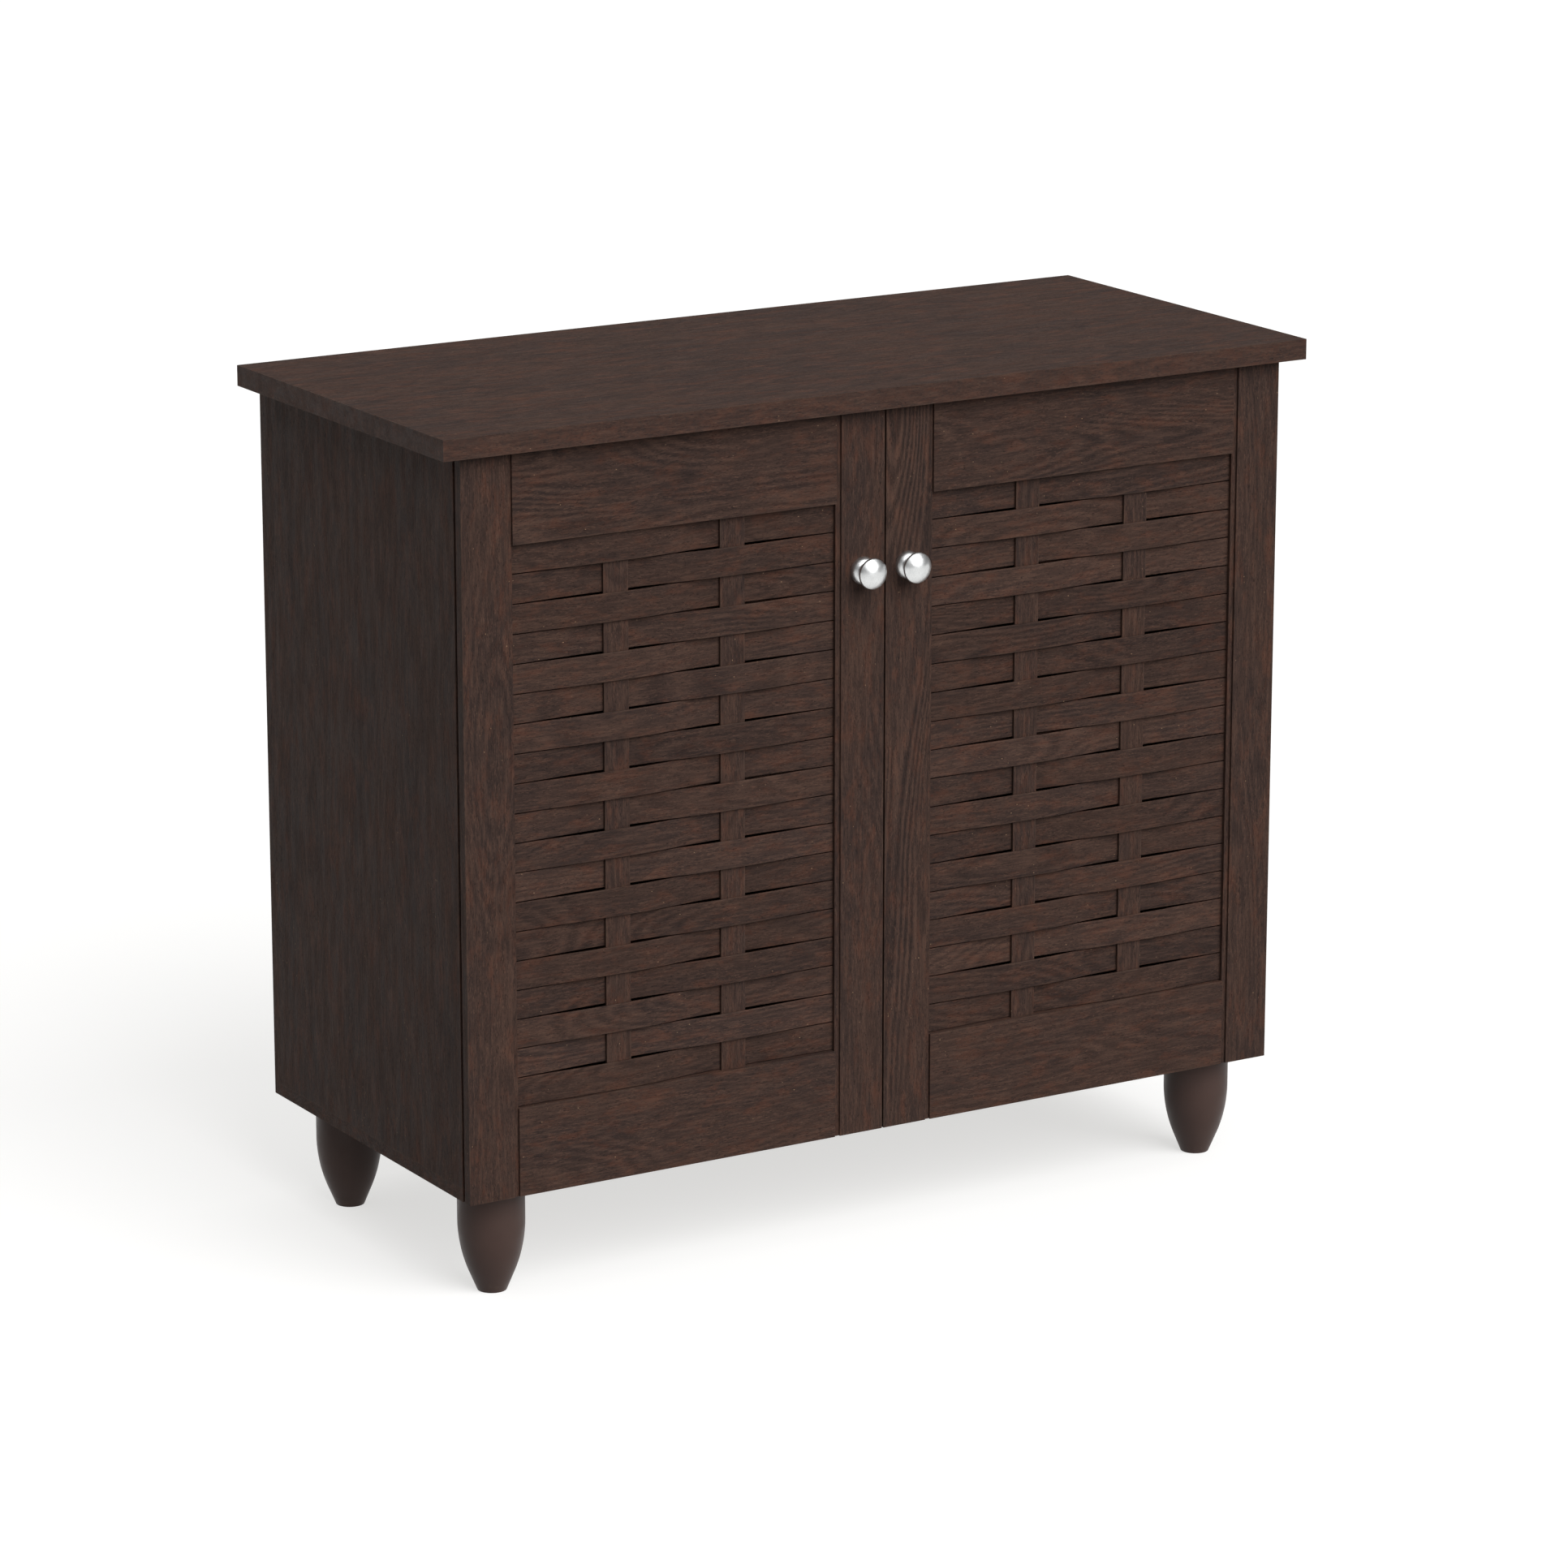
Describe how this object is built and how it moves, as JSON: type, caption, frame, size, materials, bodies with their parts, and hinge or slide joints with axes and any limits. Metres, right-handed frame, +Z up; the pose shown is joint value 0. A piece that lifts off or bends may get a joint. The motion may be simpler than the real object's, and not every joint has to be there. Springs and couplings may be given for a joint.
{
  "type": "shoe cabinet",
  "caption": "Two-door shoe cabinet in dark wood, with woven slat door panels, round metal knobs, overhanging top, inner shelves and turned tapered legs.",
  "frame": {"origin": "on the floor, midway between the sides, and midway between the knobs' tips and the back", "axes": "+X to the right seen from the front, +Y to the back, +Z up"},
  "size_m": [0.9, 0.407, 0.79],
  "materials": {
    "wood_board": "dark brown oak grain, satin",
    "wood_frame": "dark brown oak grain, satin",
    "wood_weave": "dark brown oak grain, satin",
    "painted_leg": "smooth dark brown paint, satin",
    "back_sheet": "dark brown printed fibreboard, matt",
    "pale_wood": "bare beech",
    "satin_metal": "satin nickel",
    "zinc_steel": "zinc plated"
  },
  "bodies": {
    "carcass": {"top_panel": "wood_board", "left_side_panel": "wood_board", "right_side_panel": "wood_board", "bottom_panel": "wood_board", "back_panel": "back_sheet", "lower_shelf": "wood_board", "middle_shelf": "wood_board", "upper_shelf": "wood_board", "shelf_pins": "zinc_steel", "front_left_leg": "painted_leg", "front_right_leg": "painted_leg", "rear_left_leg": "painted_leg", "rear_right_leg": "painted_leg", "leg_bolts": "zinc_steel", "leg_tee_nuts": "zinc_steel", "carcass_screws": "zinc_steel", "cam_locks": "zinc_steel", "cam_bolts": "zinc_steel", "wooden_dowels": "pale_wood", "back_nails": "zinc_steel", "left_hinge_arms": "zinc_steel", "right_hinge_arms": "zinc_steel", "left_hinge_plates": "zinc_steel", "right_hinge_plates": "zinc_steel", "left_hinge_plate_screws": "zinc_steel", "right_hinge_plate_screws": "zinc_steel"},
    "left_door": {"left_outer_stile": "wood_frame", "left_inner_stile": "wood_frame", "left_top_rail": "wood_frame", "left_bottom_rail": "wood_frame", "left_odd_slats": "wood_weave", "left_even_slats": "wood_weave", "left_outer_batten": "wood_weave", "left_inner_batten": "wood_weave", "left_knob": "satin_metal", "left_knob_screw": "zinc_steel", "left_hinge_cups": "zinc_steel", "left_hinge_pins": "zinc_steel", "left_cup_screws": "zinc_steel"},
    "right_door": {"right_outer_stile": "wood_frame", "right_inner_stile": "wood_frame", "right_top_rail": "wood_frame", "right_bottom_rail": "wood_frame", "right_odd_slats": "wood_weave", "right_even_slats": "wood_weave", "right_outer_batten": "wood_weave", "right_inner_batten": "wood_weave", "right_knob": "satin_metal", "right_knob_screw": "zinc_steel", "right_hinge_cups": "zinc_steel", "right_hinge_pins": "zinc_steel", "right_cup_screws": "zinc_steel"}
  },
  "joints": [
    {"name": "left_door_hinge", "type": "hinge", "parent": "carcass", "child": "left_door", "pos_m": [-0.4214, -0.1743, 0.4342], "axis": [0, 0, -1], "range_deg": [0, 95]},
    {"name": "right_door_hinge", "type": "hinge", "parent": "carcass", "child": "right_door", "pos_m": [0.4214, -0.1743, 0.4342], "axis": [0, 0, 1], "range_deg": [0, 95]}
  ]
}
